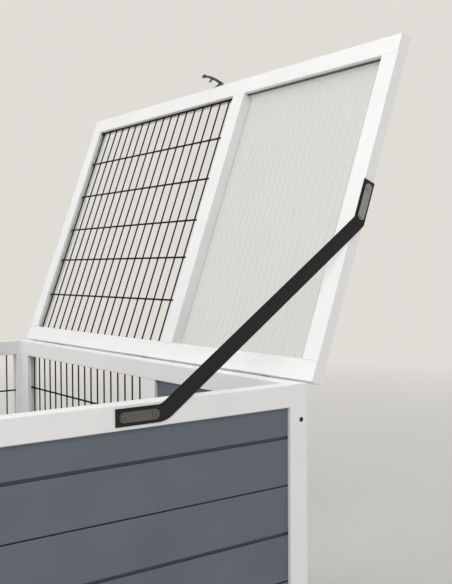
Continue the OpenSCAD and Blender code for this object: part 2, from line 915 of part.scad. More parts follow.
module claw_outline() {
    hull() {
        translate(claw_root) circle(r = claw_r, $fn = fine);
        translate(claw_bend) circle(r = claw_r, $fn = fine);
    }
    hull() {
        translate(claw_bend) circle(r = claw_r, $fn = fine);
        translate(claw_tip) circle(r = claw_r, $fn = fine);
    }
}

module latch_lever() {
    color("#6f6f6c") open_roof() at_latch() difference() {
        union() {
            latch_extrude(lever_w) lever_arc();
            latch_extrude(lever_w) translate(pivot) circle(r = lever_eye_r, $fn = fine);
            latch_extrude(lever_w) translate(roll) circle(d = roll_d, $fn = fine);
            latch_extrude(claw_w) claw_outline();
        }
        latch_extrude(bracket_w) translate(pivot) circle(r = pivot_r + screw_gap, $fn = fine);
        latch_extrude(bracket_w) translate(roll) circle(r = roll_bore_r, $fn = fine);
    }
}

module latch_keeper() {
    color("#6f6f6c") at_latch() difference() {
        union() {
            block([-bracket_w / 2, -keeper_t, keeper_low], [bracket_w / 2, 0, keeper_high]);
            block([-lip_w / 2, -lip_out, lip_low], [lip_w / 2, -keeper_t / 2, lip_high]);
        }
        at_latch_screws(keeper_screw_up) small_bore();
    }
}

// Door in the front panel's left bay
module door_slab() {
    y = front_y + door_t / 2;
    slab_x(door_in_left, door_in_right, y, door_low + door_frame_w, door_high - door_frame_w, slot_w);
}

module door_stiles() {
    color("white") difference() {
        for (x = [door_left, door_in_right])
            bar_z([x, front_y, door_low], door_high - door_low, door_frame_w, door_t);
        door_slab();
        at_door_hinges() mirror([0, 0, 1]) at_leaf_screws(door_hinge_l) small_bore();
        at_bolt_screws() small_bore();
    }
}

module door_rails() {
    color("white") difference() {
        for (z = [door_low, door_high - door_frame_w])
            bar_x([door_in_left, front_y, z], door_in_right - door_in_left, door_t, door_frame_w);
        door_slab();
    }
}

module door_mesh() {
    color("black")
        translate([door_in_left, front_y + door_t / 2, door_high - door_frame_w]) rotate([-90, 0, 0])
            grille(door_in_right - door_in_left, door_high - door_low - 2 * door_frame_w,
                door_side_wire, wire_pitch, door_cross_wire);
}

module door_hinge_cage_leaves() {
    color("silver") at_door_hinges() hinge_leaf(door_hinge_l, false);
}

module door_hinge_door_leaves() {
    color("silver") at_door_hinges() mirror([0, 0, 1]) hinge_leaf(door_hinge_l, true);
}

module door_hinge_pins() {
    color("silver") at_door_hinges() hinge_pin(door_hinge_l);
}

// Bolt on the door, and its keeper on the middle stile
module guide(x) {
    half = bolt_r + guide_wall;
    block([x, guide_y, bolt_z - half], [x + guide_l, bolt_plate_y + leaf_t / 2, bolt_z + half]);
}

module along_bolt(x, length, gap) {
    translate([x, bolt_y, bolt_z]) rotate([0, 90, 0]) cylinder(r = bolt_r + gap, h = length, $fn = fine);
}

module at_bolt_screws() {
    for (spot = bolt_screws)
        translate([door_right + spot[0], bolt_plate_y, bolt_z + spot[1]]) facing_front() children();
}

module at_keeper_screws() {
    for (side = [-1, 1])
        translate([run_right + bolt_inset + keeper_l / 2, bolt_plate_y, bolt_z + side * bolt_screw_up])
            facing_front() children();
}

module bolt_plate() {
    color("silver") difference() {
        union() {
            block([bolt_left, bolt_plate_y, bolt_z - bolt_plate_h / 2],
                [door_right - bolt_inset, front_y, bolt_z + bolt_plate_h / 2]);
            guide(bolt_left + bolt_inset);
            guide(bolt_end - guide_l);
        }
        along_bolt(bolt_left - play, bolt_plate_l + 2 * play, pin_gap);
        at_bolt_screws() small_bore();
    }
}

module bolt_rod() {
    color("silver") {
        along_bolt(bolt_left, bolt_end - bolt_left, 0);
        translate([bolt_left + bolt_inset + guide_l + play + stem_r, bolt_y, bolt_z]) facing_front() {
            cylinder(r = stem_r, h = stem_l + knob_h, $fn = fine);
            translate([0, 0, stem_l]) cylinder(r1 = knob_end_r, r2 = knob_r, h = knob_h, $fn = fine);
            translate([0, 0, stem_l + knob_h])
                cylinder(r1 = knob_r, r2 = knob_end_r, h = knob_cap_h, $fn = fine);
        }
    }
}

module bolt_keeper() {
    x = run_right + bolt_inset;
    color("silver") difference() {
        union() {
            block([x, bolt_plate_y, bolt_z - bolt_plate_h / 2],
                [x + keeper_l, front_y, bolt_z + bolt_plate_h / 2]);
            guide(x + guide_inset);
        }
        along_bolt(x - play, keeper_l + 2 * play, keeper_gap);
        at_keeper_screws() small_bore();
    }
}

module cage_screws() {
    color("silver") {
        at_roof_hinges() at_leaf_screws(roof_hinge_l) small_screw();
        at_door_hinges() at_leaf_screws(door_hinge_l) small_screw();
        at_keeper_screws() small_screw();
        at_latch() at_latch_screws(keeper_screw_up) small_screw();
    }
    color("#5b5753") at_cage_strap_screws() small_screw(strap_head_r);
}

module roof_screws() {
    color("silver") open_roof() {
        at_roof_hinges() mirror([0, 0, 1]) at_leaf_screws(roof_hinge_l) small_screw();
        at_latch() at_latch_screws(bracket_screw_up) small_screw();
        at_sheet_screws() small_screw();
    }
    color("#5b5753") open_roof() at_roof_strap_screws() small_screw(strap_head_r);
}

module door_screws() {
    color("silver") {
        at_door_hinges() mirror([0, 0, 1]) at_leaf_screws(door_hinge_l) small_screw();
        at_bolt_screws() small_screw();
    }
}

// Tray: a moulded pan behind a wooden front with a pull
module pan_outline(inset) {
    round_rect(tray_left + inset, front_y + tray_front_t + inset,
        tray_right - inset, tray_back - inset, tray_corner);
}

module tray_pan() {
    color("gainsboro") difference() {
        union() {
            translate([0, 0, tray_z]) linear_extrude(tray_h) pan_outline(tray_rim);
            translate([0, 0, tray_z + tray_h - tray_wall]) linear_extrude(tray_wall) pan_outline(0);
        }
        translate([0, 0, tray_z + tray_wall]) linear_extrude(tray_h) pan_outline(tray_rim + tray_wall);
    }
}

module tray_front() {
    color("white")
        bar_x([in_left + tray_front_gap, front_y, leg_h + tray_front_gap],
            in_right - in_left - 2 * tray_front_gap, tray_front_t, tray_gap - 2 * tray_front_gap);
}

module tray_pull() {
    grip_y = front_y - pull_out + pull_r;
    color("silver") translate([box_mid, 0, pull_z]) {
        translate([-pull_l / 2 + pull_bend, grip_y, 0]) rotate([0, 90, 0])
            cylinder(r = pull_r, h = pull_l - 2 * pull_bend, $fn = fine);
        for (side = [-1, 1]) {
            translate([side * pull_l / 2, grip_y + pull_bend, 0]) rotate([-90, 0, 0])
                cylinder(r = pull_r, h = pull_out - pull_r - pull_bend, $fn = fine);
            translate([side * (pull_l / 2 - pull_bend), grip_y + pull_bend, 0])
                rotate([0, 0, side > 0 ? -90 : 180]) rotate_extrude(angle = 90, $fn = fine)
                    translate([pull_bend, 0]) circle(r = pull_r, $fn = fine);
        }
    }
}

right_posts();
right_rails();
right_boards();
left_posts();
left_rails();
left_mesh();
rear_top_rail();
rear_bottom_rail();
rear_left_stile();
rear_middle_stile();
rear_right_stile();
rear_mesh();
rear_boards();
front_top_rail();
front_lower_rail();
front_left_stile();
front_middle_stile();
front_right_stile();
front_boards();
front_sill();
tray_runners();
corner_screws();
cage_screws();
roof_rear_rail();
roof_front_rail();
roof_left_stile();
roof_middle_stile();
roof_right_stile();
roof_mesh();
roof_sheet();
roof_screws();
roof_hinge_cage_leaves();
roof_hinge_roof_leaves();
roof_hinge_pins();
strap_cage_end();
strap_span();
strap_roof_end();
cage_strap_plate();
roof_strap_plate();
latch_bracket();
latch_pin();
latch_lever();
latch_keeper();
door_stiles();
door_rails();
door_mesh();
door_screws();
door_hinge_cage_leaves();
door_hinge_door_leaves();
door_hinge_pins();
bolt_plate();
bolt_rod();
bolt_keeper();
tray_pan();
tray_front();
tray_pull();
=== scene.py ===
import math

import bpy
from mathutils import Matrix, Vector


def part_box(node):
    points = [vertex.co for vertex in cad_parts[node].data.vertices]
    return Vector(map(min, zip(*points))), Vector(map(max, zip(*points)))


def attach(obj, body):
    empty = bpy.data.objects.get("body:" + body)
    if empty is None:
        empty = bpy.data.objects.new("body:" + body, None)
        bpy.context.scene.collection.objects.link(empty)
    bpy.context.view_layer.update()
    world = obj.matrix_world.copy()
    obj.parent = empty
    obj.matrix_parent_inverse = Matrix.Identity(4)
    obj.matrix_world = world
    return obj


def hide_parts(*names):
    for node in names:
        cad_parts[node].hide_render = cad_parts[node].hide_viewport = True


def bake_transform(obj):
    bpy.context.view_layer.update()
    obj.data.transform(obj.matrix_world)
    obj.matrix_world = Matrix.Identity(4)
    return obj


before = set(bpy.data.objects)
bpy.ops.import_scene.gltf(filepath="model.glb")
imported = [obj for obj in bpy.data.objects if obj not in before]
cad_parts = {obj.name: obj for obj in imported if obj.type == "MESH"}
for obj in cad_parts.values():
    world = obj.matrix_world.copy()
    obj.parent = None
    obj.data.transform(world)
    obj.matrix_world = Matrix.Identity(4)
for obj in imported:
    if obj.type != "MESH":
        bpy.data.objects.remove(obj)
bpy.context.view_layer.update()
mm = 0.001
closeBy = 0.01 * mm                  # corners nearer to each other than this are one

cage = {"right": 454.5, "rear": 173.408, "top": 434.0, "front": -352.592, "left": -458.5,
        "openAngle": 110.0, "pinOut": 2.5, "pinDrop": 0.5,
        "roofGap": 0.6, "roofThickness": 19.5, "roofRear": 30.0, "roofFront": 31.0}
roofMiddle = cage["top"] + cage["roofGap"] + cage["roofThickness"] / 2    # height of its mid plane when closed
roofLean = math.radians(cage["openAngle"] - 90)                           # how far it leans back when open
hingePin = Vector((0, cage["rear"] + cage["pinOut"], cage["top"] - cage["pinDrop"])) * mm
openTurn = Matrix.Rotation(math.radians(-cage["openAngle"]), 4, "X")
openRoof = Matrix.Translation(hingePin) @ openTurn @ Matrix.Translation(-hingePin)    # closed to open
print("frame loaded")


# Selecting and tidying, as by hand

def clearSelection():
    bpy.ops.object.select_all(action="DESELECT")


def selectOnly(*pieces):
    clearSelection()
    for piece in pieces:
        piece.select_set(True)
    bpy.context.view_layer.objects.active = pieces[0]


def editMode(on=True):
    bpy.ops.object.mode_set(mode="EDIT" if on else "OBJECT")


def selectBy(kind):                  # leaves edit mode off, with no vertex, edge or face selected
    editMode()
    bpy.ops.mesh.select_mode(type=kind)
    bpy.ops.mesh.select_all(action="DESELECT")
    editMode(False)


def selectVertices(piece, test):     # leaves edit mode on, with the vertices that pass the test selected
    selectBy("VERT")
    for vertex in piece.data.vertices:
        vertex.select = test(vertex.co)
    editMode()


def selectFaces(piece, way):         # the same for the faces that look up (1) or down (-1)
    selectBy("FACE")
    for face in piece.data.polygons:
        face.select = face.normal.z * way > 0.9
    editMode()


def applyAll(piece):
    selectOnly(piece)
    bpy.ops.object.transform_apply(location=True, rotation=True, scale=True)


def applyModifier(piece, kind, **options):
    selectOnly(piece)
    modifier = piece.modifiers.new("step", kind)
    for name, value in options.items():
        setattr(modifier, name, value)
    bpy.ops.object.modifier_apply(modifier="step")


def bevelEdges(piece, width, segments=2, angle=32):
    applyModifier(piece, "BEVEL", width=width, segments=segments, limit_method="ANGLE",
                  angle_limit=math.radians(angle))


def shadeSmooth(piece, angle=40):
    selectOnly(piece)
    bpy.ops.object.shade_smooth_by_angle(angle=math.radians(angle))


def copyTo(model, places):           # one copy of the model, with its own mesh, at each place
    copies = []
    for place in places:
        copy = model.copy()
        copy.data = model.data.copy()
        bpy.context.collection.objects.link(copy)
        copy.matrix_world = place
        copies.append(copy)
    return copies


def joinUp(pieces, name):
    selectOnly(*pieces)
    bpy.ops.object.join()
    piece = bpy.context.object
    piece.name = name
    applyAll(piece)
    return piece


def remove(*pieces):
    for piece in pieces:
        bpy.data.objects.remove(piece)


def settle(piece, body, material, slot, *replaced):   # finish, body, and what it stands for
    piece.data.materials.clear()
    piece.data.materials.append(material)
    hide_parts(*replaced)
    if body:
        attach(piece, body)
    return piece


def meshCopy(node, name):            # a loose copy of a node's mesh, merged and ready to be worked on
    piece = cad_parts[node].copy()
    piece.data = piece.data.copy()
    piece.name = name
    piece.parent = None
    for key in list(piece.keys()):
        del piece[key]
    bpy.context.collection.objects.link(piece)
    piece.matrix_world = Matrix.Identity(4)
    selectOnly(piece)
    editMode()
    bpy.ops.mesh.select_all(action="SELECT")
    bpy.ops.mesh.remove_doubles(threshold=closeBy)
    bpy.ops.mesh.dissolve_limited(angle_limit=math.radians(1))
    bpy.ops.mesh.normals_make_consistent(inside=False)
    editMode(False)
    return piece


# Shader nodes

def toLinear(hexCode):
    parts = [int(hexCode[i:i + 2], 16) / 255 for i in (0, 2, 4)]
    return [c / 12.92 if c <= 0.04045 else ((c + 0.055) / 1.055) ** 2.4 for c in parts] + [1.0]


def addNode(tree, kind, inputs=None, **options):
    node = tree.nodes.new(kind)
    for name, value in options.items():
        setattr(node, name, value)
    for name, value in (inputs or {}).items():
        if isinstance(value, bpy.types.NodeSocket):
            tree.links.new(value, node.inputs[name])
        else:
            node.inputs[name].default_value = value
    return node


def newMaterial(name, **constants):
    material = bpy.data.materials.new(name)
    material.use_nodes = True
    tree = material.node_tree
    tree.nodes.clear()
    shader = addNode(tree, "ShaderNodeBsdfPrincipled", constants)
    addNode(tree, "ShaderNodeOutputMaterial", {"Surface": shader.outputs[0]})
    return material, tree, shader


def noise(tree, vector, scale, detail=3.0, roughness=0.5):
    return addNode(tree, "ShaderNodeTexNoise", {"Vector": vector, "Scale": scale, "Detail": detail,
                                                "Roughness": roughness}).outputs[0]


def calc(tree, operation, first, second=0.0):
    return addNode(tree, "ShaderNodeMath", {0: first, 1: second}, operation=operation).outputs[0]


def stretchTo(tree, value, low, high, outLow=0.0, outHigh=1.0):
    return addNode(tree, "ShaderNodeMapRange", {"Value": value, "From Min": low, "From Max": high,
                                                "To Min": outLow, "To Max": outHigh}).outputs[0]


def mixColour(tree, factor, first, second):
    return addNode(tree, "ShaderNodeMix", {0: factor, 6: first, 7: second}, data_type="RGBA").outputs[2]


def bumpFrom(tree, shader, height, depth, strength=1.0):
    bump = addNode(tree, "ShaderNodeBump", {"Height": height, "Distance": depth, "Strength": strength})
    tree.links.new(bump.outputs[0], shader.inputs["Normal"])


# Painted wood: water-based satin paint on planed pine. The fibres still show as faint lines along each
# bar, brush and sanding marks make the gloss uneven, and no two bars have the same grain

# shadow and groove are painted shade: darker colours for the slate boards' beads and joints and for the roof rails'
# mesh groove
paint = {"white": "EEEEEE", "whiteLow": "E8E8E8", "slate": "626974", "slateLow": "5A616B", "shadow": "3F434D",
         "groove": "A3A19B", "fibre": 1.6, "fibreLength": 120.0, "fibreShare": 0.35, "fibreDepth": 0.05,
         "brush": 4.0, "clouds": 90.91, "gloss": 0.45, "glossSpread": (-0.06, 0.08)}     # brush marks are in fibres
mostNoise = 0.3, 0.7                 # most of what a noise gives lies between these
meshGroove = {"from": 232.6, "to": 241.0, "halfDepth": 3.5, "end": 445.0}    # from the middle of the roof, in mm


def woodCoordinates(tree, along):
    place = addNode(tree, "ShaderNodeTexCoord").outputs["Object"]
    lean = (roofLean if along == "slope" else 0, 0, 0)
    upright = addNode(tree, "ShaderNodeMapping", {"Vector": place, "Rotation": lean}).outputs[0]
    long, short = 1 / (paint["fibreLength"] * mm), 1 / (paint["fibre"] * mm)
    scale = {"x": (long, short, short), "y": (short, long, short)}.get(along, (short, short, long))
    return place, addNode(tree, "ShaderNodeMapping", {"Vector": upright, "Scale": scale}).outputs[0]


def between(tree, value, low, high):   # 1 where a length in millimetres lies between two others
    above, below = calc(tree, "GREATER_THAN", value, low * mm), calc(tree, "LESS_THAN", value, high * mm)
    return calc(tree, "MULTIPLY", above, below)


def sunkAlong(axis, low, high):
    return lambda tree, place: between(
        tree, addNode(tree, "ShaderNodeSeparateXYZ", {"Vector": place}).outputs[axis], low, high)


# Where the roof rails get painted shade: down in the groove that holds the mesh
def roofGroove(tree, place):         # the mesh's groove in both rails, measured from the middle of the open roof
    middle = (cage["rear"] - cage["roofRear"] + cage["front"] + cage["roofFront"]) / 2
    centre = openRoof @ (Vector((0, middle, roofMiddle)) * mm)
    offset = addNode(tree, "ShaderNodeVectorMath", {0: place, 1: tuple(centre)}, operation="SUBTRACT").outputs[0]
    upRoof, outward = openTurn @ Vector((0, -1, 0)), openTurn @ Vector((0, 0, 1))
    along, deep = (calc(tree, "ABSOLUTE", addNode(
        tree, "ShaderNodeVectorMath", {0: offset, 1: tuple(way)}, operation="DOT_PRODUCT").outputs["Value"])
        for way in (upRoof, outward))
    sideways = addNode(tree, "ShaderNodeSeparateXYZ", {"Vector": place}).outputs["X"]
    section = calc(tree, "MULTIPLY", between(tree, along, meshGroove["from"], meshGroove["to"]),
                   calc(tree, "LESS_THAN", deep, meshGroove["halfDepth"] * mm))
    return calc(tree, "MULTIPLY", section, between(tree, sideways, -meshGroove["end"], meshGroove["end"]))


def paintedPine(name, along, colour, groove=None, shadow=paint["shadow"]):
    material, tree, shader = newMaterial(name)
    place, grain = woodCoordinates(tree, along)
    fibres = noise(tree, grain, 1.0, 4.0, 0.6)
    clouds = noise(tree, place, 1 / (paint["clouds"] * mm), 2.0)
    brush = noise(tree, grain, 1 / paint["brush"], 2.0)
    tone = calc(tree, "ADD", calc(tree, "MULTIPLY", stretchTo(tree, fibres, *mostNoise), paint["fibreShare"]),
                calc(tree, "MULTIPLY", stretchTo(tree, clouds, *mostNoise), 1 - paint["fibreShare"]))
    coat = mixColour(tree, tone, toLinear(paint[colour + "Low"]), toLinear(paint[colour]))
    if groove:                       # painted shade: the colour is darkened down in the beads, joints and grooves, where shade falls
        coat = mixColour(tree, groove(tree, place), coat, toLinear(shadow))
    tree.links.new(coat, shader.inputs["Base Color"])
    gloss = (paint["gloss"] + spread for spread in paint["glossSpread"])
    tree.links.new(stretchTo(tree, brush, *mostNoise, *gloss), shader.inputs["Roughness"])
    bumpFrom(tree, shader, calc(tree, "ADD", fibres, brush), paint["fibreDepth"] * mm, 0.5)
    return material


whiteX = paintedPine("white painted pine, lying lengthwise", "x", "white")
whiteY = paintedPine("white painted pine, lying crosswise", "y", "white")
whiteZ = paintedPine("white painted pine, upright", "z", "white")
whiteSlope = paintedPine("white painted pine, up the open roof", "slope", "white")
# The roof's rails get painted shade in the mesh's groove
whiteRail = paintedPine("white painted pine, across the open roof", "x", "white", roofGroove, paint["groove"])
shallow, deep = 6.3, 8.4             # how far below the panel's face the bottoms of the beads lie
# The slate boards get painted shade down in their beads and joints
slateRight = paintedPine("slate painted pine boards, right end", "y", "slate",
                         sunkAlong("X", cage["right"] - deep, cage["right"] - shallow))
slateRear = paintedPine("slate painted pine boards, rear", "x", "slate",
                        sunkAlong("Y", cage["rear"] - deep, cage["rear"] - shallow))
slateFront = paintedPine("slate painted pine boards, front", "x", "slate",
                         sunkAlong("Y", cage["front"] + shallow, cage["front"] + deep))

# Bare planed pine of the tray battens: honey coloured, with darker bands of late wood
battenLook = {"light": "E0C79F", "dark": "C7A271", "gloss": 0.62, "bands": 0.35, "bandRange": (0.38, 0.6),
              "bandDepth": 0.08}
barePine, tree, shader = newMaterial("bare planed pine", Roughness=battenLook["gloss"])
bands = noise(tree, woodCoordinates(tree, "y")[1], battenLook["bands"], 4.0)
tree.links.new(mixColour(tree, stretchTo(tree, bands, *battenLook["bandRange"]), toLinear(battenLook["dark"]),
                         toLinear(battenLook["light"])), shader.inputs["Base Color"])
bumpFrom(tree, shader, bands, battenLook["bandDepth"] * mm, 0.6)


# Cloudy plating or coat over fine scratches. Sizes of its clouds and specks are in millimetres
plating = {"clouds": 3.846, "cloudRange": (0.35, 0.65), "depth": 0.01, "glossSpread": (-0.05, 0.07)}


def plated(name, light, low, roughness, speck, metallic=1.0, **more):
    material, tree, shader = newMaterial(name, Metallic=metallic, **more)
    place = addNode(tree, "ShaderNodeTexCoord").outputs["Object"]
    cloudy = noise(tree, place, 1 / (plating["clouds"] * mm), 3.0)
    fine = noise(tree, place, 1 / (speck * mm), 3.0, 0.7)
    tone = stretchTo(tree, cloudy, *plating["cloudRange"])
    tree.links.new(mixColour(tree, tone, toLinear(low), toLinear(light)), shader.inputs["Base Color"])
    gloss = (roughness + spread for spread in plating["glossSpread"])
    tree.links.new(stretchTo(tree, cloudy, *mostNoise, *gloss), shader.inputs["Roughness"])
    bumpFrom(tree, shader, fine, plating["depth"] * mm, 0.6)
    return material


metals = {"zinc": {"light": "B0B2B3", "low": "A6A8AA", "roughness": 0.33, "speck": 0.4},
          "nickel": {"light": "726F6C", "low": "6B6865", "roughness": 0.36, "speck": 0.35},
          "nickelPaintedLighter": {"light": "A09F9E", "low": "989796", "roughness": 0.4, "speck": 0.35},
          "black": {"light": "4A4945", "low": "383733", "roughness": 0.42, "speck": 0.3},
          "coat": {"light": "0B0B0C", "low": "070708", "roughness": 0.45, "speck": 1.1, "metallic": 0.0,
                   "Specular IOR Level": 0.15}}
# Bright zinc on the hinges, bolt and pull, dull where the barrel rubbed it
zincSteel = plated("zinc plated steel", **metals["zinc"])
# Dull nickel on the strap plates and the latch: a warm dark grey that only glows at its edges
dullNickel = plated("dull nickel plated steel", **metals["nickel"])
# The same nickel, painted lighter, on the plate up on the roof and its screws: a painted reflection of the pale
# backdrop
roofNickelPaintedLighter = plated("dull nickel plated steel, painted lighter as a reflection", **metals["nickelPaintedLighter"])
# Blackened steel of the panel screws
blackSteel = plated("blackened steel", **metals["black"])
# Powder coat on the welded wire: satin black, with the slight orange peel of the coat
blackCoat = plated("black powder coat", **metals["coat"])

# Twin-wall polycarbonate of the roof: milky and half clear, a little uneven between its ribs
sheetLook = {"colour": "DFDFDC", "colourLow": "D7D7D4", "clear": 0.86, "clearRib": 0.962, "gloss": 0.32,
             "rib": 14.5, "ribShare": 0.2, "ribDepth": 0.03, "waves": 142.86, "toneRange": (0.1, 0.9)}
milkySheet, tree, shader = newMaterial("milky twin-wall polycarbonate", Roughness=sheetLook["gloss"])
coordinates = addNode(tree, "ShaderNodeTexCoord")
place, facing = coordinates.outputs["Object"], coordinates.outputs["Normal"]
onRib = calc(tree, "ABSOLUTE", addNode(tree, "ShaderNodeSeparateXYZ", {"Vector": facing}).outputs["X"])
tree.links.new(stretchTo(tree, onRib, 0.4, 0.6, 1 - sheetLook["clear"], 1 - sheetLook["clearRib"]),
               shader.inputs["Alpha"])
sideways = addNode(tree, "ShaderNodeSeparateXYZ", {"Vector": place}).outputs["X"]
rib = calc(tree, "SINE", calc(tree, "MULTIPLY", sideways, 2 * math.pi / (sheetLook["rib"] * mm)))
waves = noise(tree, place, 1 / (sheetLook["waves"] * mm), 2.0)
tone = calc(tree, "ADD", calc(tree, "MULTIPLY", rib, sheetLook["ribShare"]), waves)
tree.links.new(mixColour(tree, stretchTo(tree, tone, *sheetLook["toneRange"]), toLinear(sheetLook["colourLow"]),
                         toLinear(sheetLook["colour"])), shader.inputs["Base Color"])
bumpFrom(tree, shader, rib, sheetLook["ribDepth"] * mm, 0.4)

# Moulded polypropylene of the tray: mid grey, with the fine spark texture of its mould
trayLook = {"colour": "95989C", "colourLow": "8C8F93", "gloss": 0.46, "spark": 0.7692, "sparkDepth": 0.05,
            "flow": 166.67, "rounding": 0.8}
trayPlastic, tree, shader = newMaterial("moulded grey polypropylene", Roughness=trayLook["gloss"])
place = addNode(tree, "ShaderNodeTexCoord").outputs["Object"]
spark = noise(tree, place, 1 / (trayLook["spark"] * mm), 2.0)
flow = noise(tree, place, 1 / (trayLook["flow"] * mm), 2.0)
tree.links.new(mixColour(tree, flow, toLinear(trayLook["colourLow"]), toLinear(trayLook["colour"])),
               shader.inputs["Base Color"])
bumpFrom(tree, shader, spark, trayLook["sparkDepth"] * mm, 0.5)

# Woven polypropylene webbing: near black, in a herringbone with a tight woven edge down both sides. Lengths are in
# millimetres, "turn" is counted in threads and "edgeWidth" is a share of the width
weave = {"thread": 3.0, "turn": 3.5, "depth": 0.25, "fuzz": 1.111, "fuzzShare": 0.5, "toneRange": (-0.1, 0.6),
         "colour": "333132", "colourLow": "040405", "edge": "181818", "edgeWidth": 0.06}
strapLook = {"width": 21.0, "thickness": 1.4, "rounding": 0.35, "gap": 0.1, "below": 15.0, "lowBend": 229.0,
             "highBend": 235.0, "lowEnd": 65.0, "highEnd": 61.0, "lowRadius": 24.0, "roofOver": 4.0, "spread": 45.0,
             "bendSteps": 8, "cuts": 60, "longEdge": 100.0}
webbing, tree, shader = newMaterial("black woven webbing", **{"Roughness": 0.8, "Specular IOR Level": 0.25,
                                                              "Sheen Weight": 0.04})
uv = addNode(tree, "ShaderNodeTexCoord").outputs["UV"]     # u is metres along the strap, v metres across it
uvParts = addNode(tree, "ShaderNodeSeparateXYZ", {"Vector": uv})
alongThreads = calc(tree, "DIVIDE", uvParts.outputs[0], weave["thread"] * mm)
acrossThreads = calc(tree, "DIVIDE", uvParts.outputs[1], weave["thread"] * mm)
zigzag = calc(tree, "PINGPONG", acrossThreads, weave["turn"])
twill = calc(tree, "SINE", calc(tree, "MULTIPLY", calc(tree, "ADD", alongThreads, zigzag), 2 * math.pi))
warp = calc(tree, "SINE", calc(tree, "MULTIPLY", acrossThreads, 2 * math.pi))
threads = calc(tree, "MULTIPLY", calc(tree, "ADD", twill, warp), 0.25)
fuzz = noise(tree, uv, 1 / (weave["fuzz"] * mm), 2.0)
tone = calc(tree, "ADD", threads, calc(tree, "MULTIPLY", fuzz, weave["fuzzShare"]))
level = stretchTo(tree, tone, *weave["toneRange"])
cloth = mixColour(tree, level, toLinear(weave["colourLow"]), toLinear(weave["colour"]))
side = calc(tree, "ABSOLUTE", calc(tree, "DIVIDE", uvParts.outputs[1], strapLook["width"] * mm))
tree.links.new(mixColour(tree, calc(tree, "GREATER_THAN", side, 0.5 - weave["edgeWidth"]), cloth,
                         toLinear(weave["edge"])), shader.inputs["Base Color"])
bumpFrom(tree, shader, threads, weave["depth"] * mm, 0.8)
print("materials made")


def dress(material, *names):
    for name in names:
        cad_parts[name].data.materials.clear()
        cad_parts[name].data.materials.append(material)


dress(whiteX, "rear_top_rail", "rear_bottom_rail", "front_top_rail", "front_lower_rail", "front_sill",
      "door_rails", "tray_front")
dress(whiteRail, "roof_rear_rail", "roof_front_rail")
dress(whiteY, "right_rails", "left_rails")
dress(whiteZ, "right_posts", "left_posts", "rear_left_stile", "rear_middle_stile", "rear_right_stile",
      "front_left_stile", "front_middle_stile", "front_right_stile", "door_stiles")
dress(whiteSlope, "roof_left_stile", "roof_middle_stile", "roof_right_stile")
dress(slateRight, "right_boards")
dress(slateRear, "rear_boards")
dress(slateFront, "front_boards")
dress(barePine, "tray_runners")
dress(milkySheet, "roof_sheet")
print("wood and roof sheet finished")


# Welded mesh: round wires, with the coat pooled where they cross

wireLook = {"upright": 2.8, "cross": 3.4, "weld": 0.3, "sides": 12, "pool": 1.1, "poolLength": 2.6,
            "inGroove": 6.5, "pitch": 25.3, "roofPitch": 27.7, "crossPitch": 76.7, "lastGap": 4.0,
            "roofFirst": 3.3, "roofCrosses": (76.8, 156.7, 227.8, 307.4, 387.1, 464.5), "roofHeight": 465.0}
meshes = {"left": {"body": "cage", "first": 18.5, "firstCross": 78.0, "inside": 11.0},
          "rear": {"body": "cage", "first": 14.5, "firstCross": 69.0, "inside": 11.0},
          "door": {"body": "door", "first": 17.0, "firstCross": 48.0, "inside": 9.0}}


def wire(diameter, length, crossings):         # lies along Y from its start, in millimetres
    bpy.ops.mesh.primitive_cylinder_add(vertices=wireLook["sides"], radius=diameter / 2 * mm, depth=length * mm,
                                        location=(0, length / 2 * mm, 0), rotation=(math.pi / 2, 0, 0))
    piece = bpy.context.object
    applyAll(piece)
    editMode()
    for crossing in crossings:
        for offset in (-wireLook["poolLength"], wireLook["poolLength"], 0):
            bpy.ops.mesh.select_all(action="SELECT")
            bpy.ops.mesh.bisect(plane_co=(0, (crossing + offset) * mm, 0), plane_no=(0, 1, 0))
        bpy.ops.transform.resize(value=(wireLook["pool"], 1, wireLook["pool"]),
                                 center_override=(0, crossing * mm, 0))
    editMode(False)
    return piece


def evenly(first, pitch, length):
    return [first + i * pitch for i in range(int((length - first - wireLook["lastGap"]) / pitch) + 1)]


def weldedMesh(name, node, body, width, height, uprights, crosses, place):
    look = wireLook
    held = look["inGroove"]
    upright = wire(look["upright"], height + 2 * held, [y + held for y in crosses])
    across = wire(look["cross"], width + 2 * held, [x + held for x in uprights])
    back, rise = (look["weld"] - look["cross"]) / 2, (look["upright"] - look["weld"]) / 2
    places = [place @ Matrix.Translation(Vector((x, -held, back)) * mm) for x in uprights]
    quarter = Matrix.Rotation(-math.pi / 2, 4, "Z")
    crossPlaces = [place @ Matrix.Translation(Vector((-held, y, rise)) * mm) @ quarter for y in crosses]
    piece = joinUp(copyTo(upright, places) + copyTo(across, crossPlaces), name)
    remove(upright, across)
    shadeSmooth(piece)
    return settle(piece, body, blackCoat, "black_wire", node)


def at(x, y, z, *turns):
    matrix = Matrix.Translation(Vector((x, y, z)) * mm)
    for angle, axis in turns:
        matrix = matrix @ Matrix.Rotation(math.radians(angle), 4, axis)
    return matrix


def nodeSize(node):                  # low and high corners in millimetres
    low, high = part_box(node)
    return low / mm, high / mm


